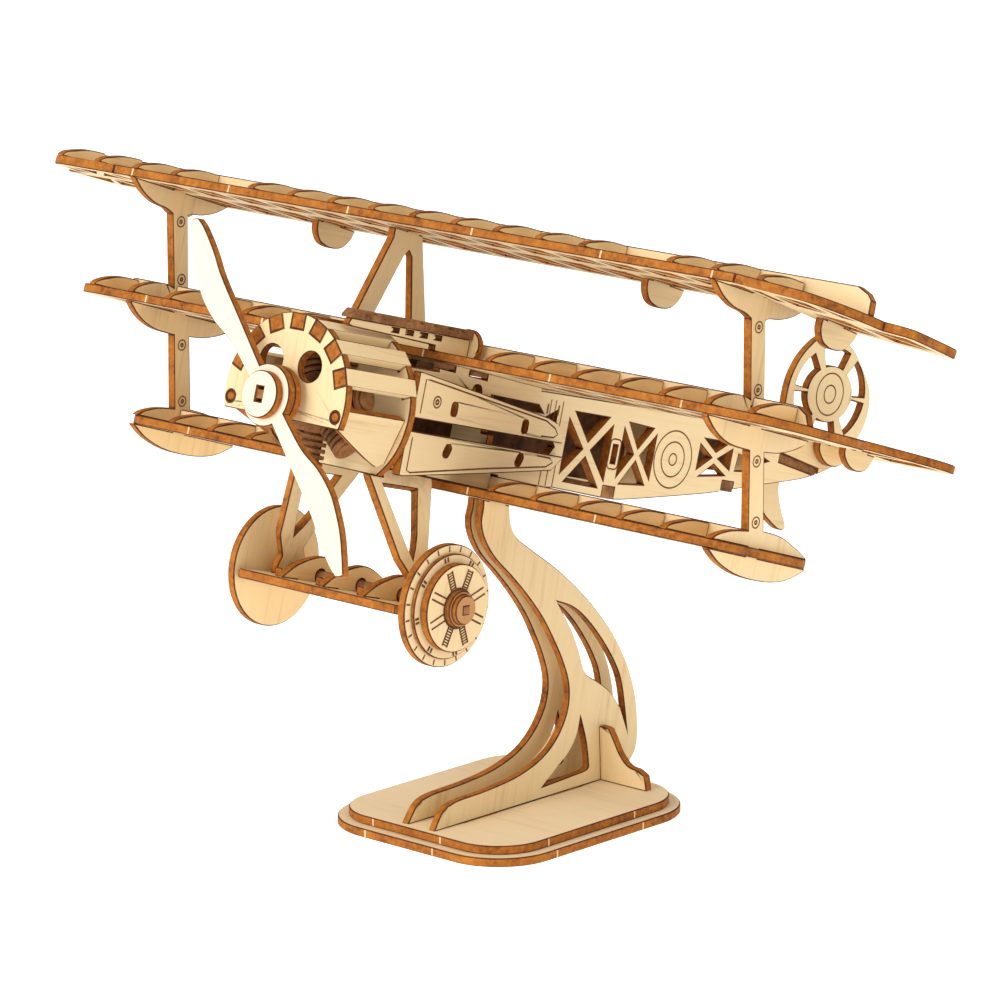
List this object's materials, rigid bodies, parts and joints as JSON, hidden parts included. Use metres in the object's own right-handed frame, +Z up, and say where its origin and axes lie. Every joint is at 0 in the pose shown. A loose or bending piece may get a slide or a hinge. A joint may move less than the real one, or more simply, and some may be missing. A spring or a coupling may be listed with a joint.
{
  "type": "triplane scale model",
  "caption": "Slot-together plywood triplane scale model with a turning propeller and wheels, held nose-up on a curved two-plate stand with a stepped base.",
  "frame": {"origin": "centre of the underside of the base", "axes": "+Z up, nose toward -Y, port wing toward +X, the aircraft pitched 16 degrees nose-up"},
  "size_m": [0.2471, 0.2071, 0.1396],
  "materials": {
    "birch_ply": "laser cut birch plywood, pale satin faces with fine grain and scorched orange brown edges",
    "scorched_ply": "small plywood parts browned by the laser, matt"
  },
  "bodies": {
    "airframe": {"base_lower_plate": "birch_ply", "base_upper_plate": "birch_ply", "stand_plate_left": "birch_ply", "stand_plate_right": "birch_ply", "stand_braces": "birch_ply", "cowl_front_plate": "birch_ply", "cowl_rear_ring": "birch_ply", "cowl_slats": "birch_ply", "cowl_cheek_left": "birch_ply", "cowl_cheek_right": "birch_ply", "radial_engine": "scorched_ply", "bearing_washer": "birch_ply", "fuselage_side_left": "birch_ply", "fuselage_side_right": "birch_ply", "fuselage_formers": "birch_ply", "fuselage_keel": "scorched_ply", "fuselage_deck": "birch_ply", "fuselage_pegs": "scorched_ply", "fairing_upper_left": "birch_ply", "fairing_upper_right": "birch_ply", "fairing_lower_left": "birch_ply", "fairing_lower_right": "birch_ply", "fairing_standoffs": "scorched_ply", "gun_side_plates": "birch_ply", "gun_top_plates": "scorched_ply", "gun_end_discs": "birch_ply", "cabane_strut": "birch_ply", "upper_wing_plate": "birch_ply", "upper_wing_spar": "birch_ply", "upper_wing_ribs": "birch_ply", "upper_wing_tabs": "birch_ply", "upper_wing_tips": "birch_ply", "middle_wing_plate": "birch_ply", "middle_wing_spar": "birch_ply", "middle_wing_ribs": "birch_ply", "lower_wing_plate": "birch_ply", "lower_wing_spars": "birch_ply", "lower_wing_ribs": "birch_ply", "interplane_strut_left": "birch_ply", "interplane_strut_right": "birch_ply", "tailplane": "birch_ply", "tailplane_tabs": "birch_ply", "rudder": "birch_ply", "tail_skid": "birch_ply", "gear_strut_left": "birch_ply", "gear_strut_right": "birch_ply", "gear_wing_plate": "birch_ply", "gear_wing_ribs": "birch_ply"},
    "propeller_group": {"propeller": "birch_ply", "propeller_cap": "birch_ply", "propeller_spacer": "birch_ply", "propeller_shaft": "scorched_ply"},
    "wheel_set": {"axle": "scorched_ply", "wheel_tyre_left": "birch_ply", "wheel_tyre_right": "birch_ply", "wheel_rims": "birch_ply", "wheel_spokes_left": "birch_ply", "wheel_spokes_right": "birch_ply", "wheel_hub_left": "birch_ply", "wheel_hub_right": "birch_ply"}
  },
  "joints": [
    {"name": "propeller_spin", "type": "hinge", "parent": "airframe", "child": "propeller_group", "pos_m": [0, -0.0694, 0.1059], "axis": [0, 0.9613, -0.2756], "continuous": true},
    {"name": "wheels_spin", "type": "hinge", "parent": "airframe", "child": "wheel_set", "pos_m": [0, -0.04774, 0.06172], "axis": [1, 0, 0], "continuous": true}
  ]
}
